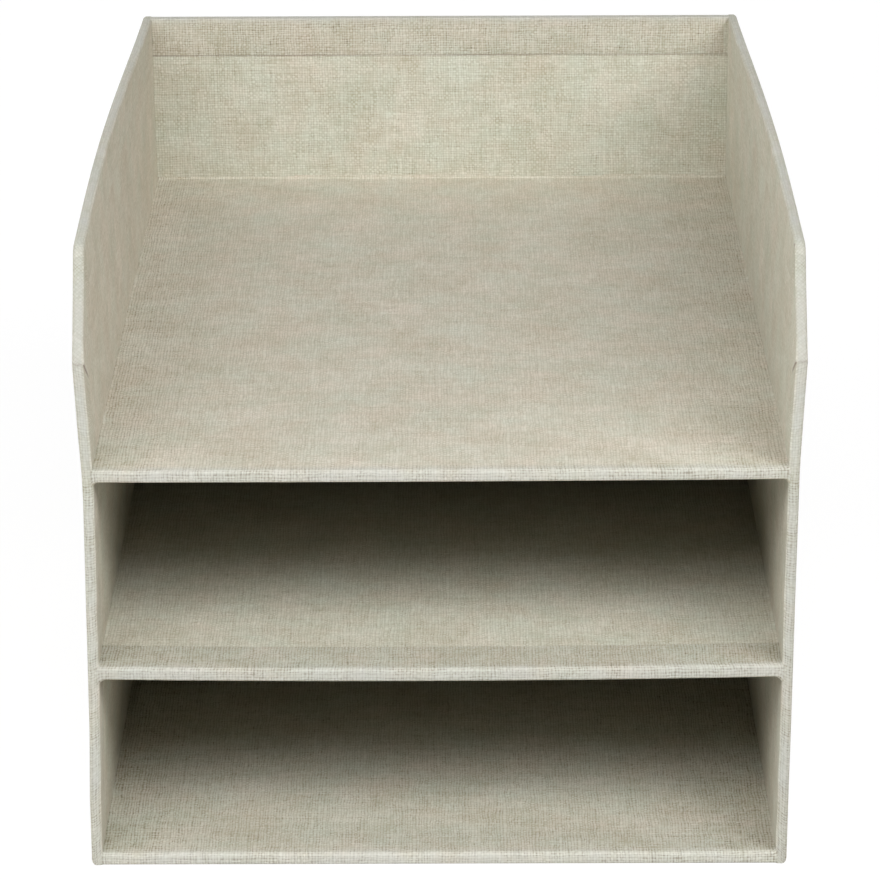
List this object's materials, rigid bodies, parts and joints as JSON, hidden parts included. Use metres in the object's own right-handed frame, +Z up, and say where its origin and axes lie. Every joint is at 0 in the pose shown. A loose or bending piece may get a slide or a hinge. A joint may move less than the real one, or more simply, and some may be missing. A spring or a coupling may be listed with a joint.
{
  "type": "letter tray stack",
  "caption": "Desk organizer of cloth-covered board: fixed shelves make open-front paper bays under an open tray whose side walls are cut away at a slant in front",
  "frame": {"origin": "middle of the underside, on the surface that the object stands on", "axes": "+X to the right of someone facing the open front, +Y to the back, +Z up; the open front faces -Y"},
  "size_m": [0.24, 0.34, 0.214],
  "materials": {
    "board": "grey fibreboard, hidden under the cloth",
    "cover_cloth": "natural linen, plain weave, glued on",
    "lining_cloth": "natural linen, plain weave, glued on"
  },
  "bodies": {
    "root": {"left_side_board": "board", "right_side_board": "board", "back_board": "board", "base_board": "board", "lower_shelf_board": "board", "upper_shelf_board": "board", "left_side_cover": "cover_cloth", "right_side_cover": "cover_cloth", "back_cover": "cover_cloth", "base_floor_cloth": "cover_cloth", "base_underside_cloth": "cover_cloth", "lower_shelf_cover": "cover_cloth", "upper_shelf_cover": "cover_cloth", "lower_shelf_lining": "lining_cloth", "lower_bay_lining": "lining_cloth", "lower_back_lining": "lining_cloth", "middle_bay_lining": "lining_cloth", "middle_back_lining": "lining_cloth", "tray_left_lining": "lining_cloth", "tray_right_lining": "lining_cloth", "tray_back_lining": "lining_cloth"}
  },
  "joints": []
}
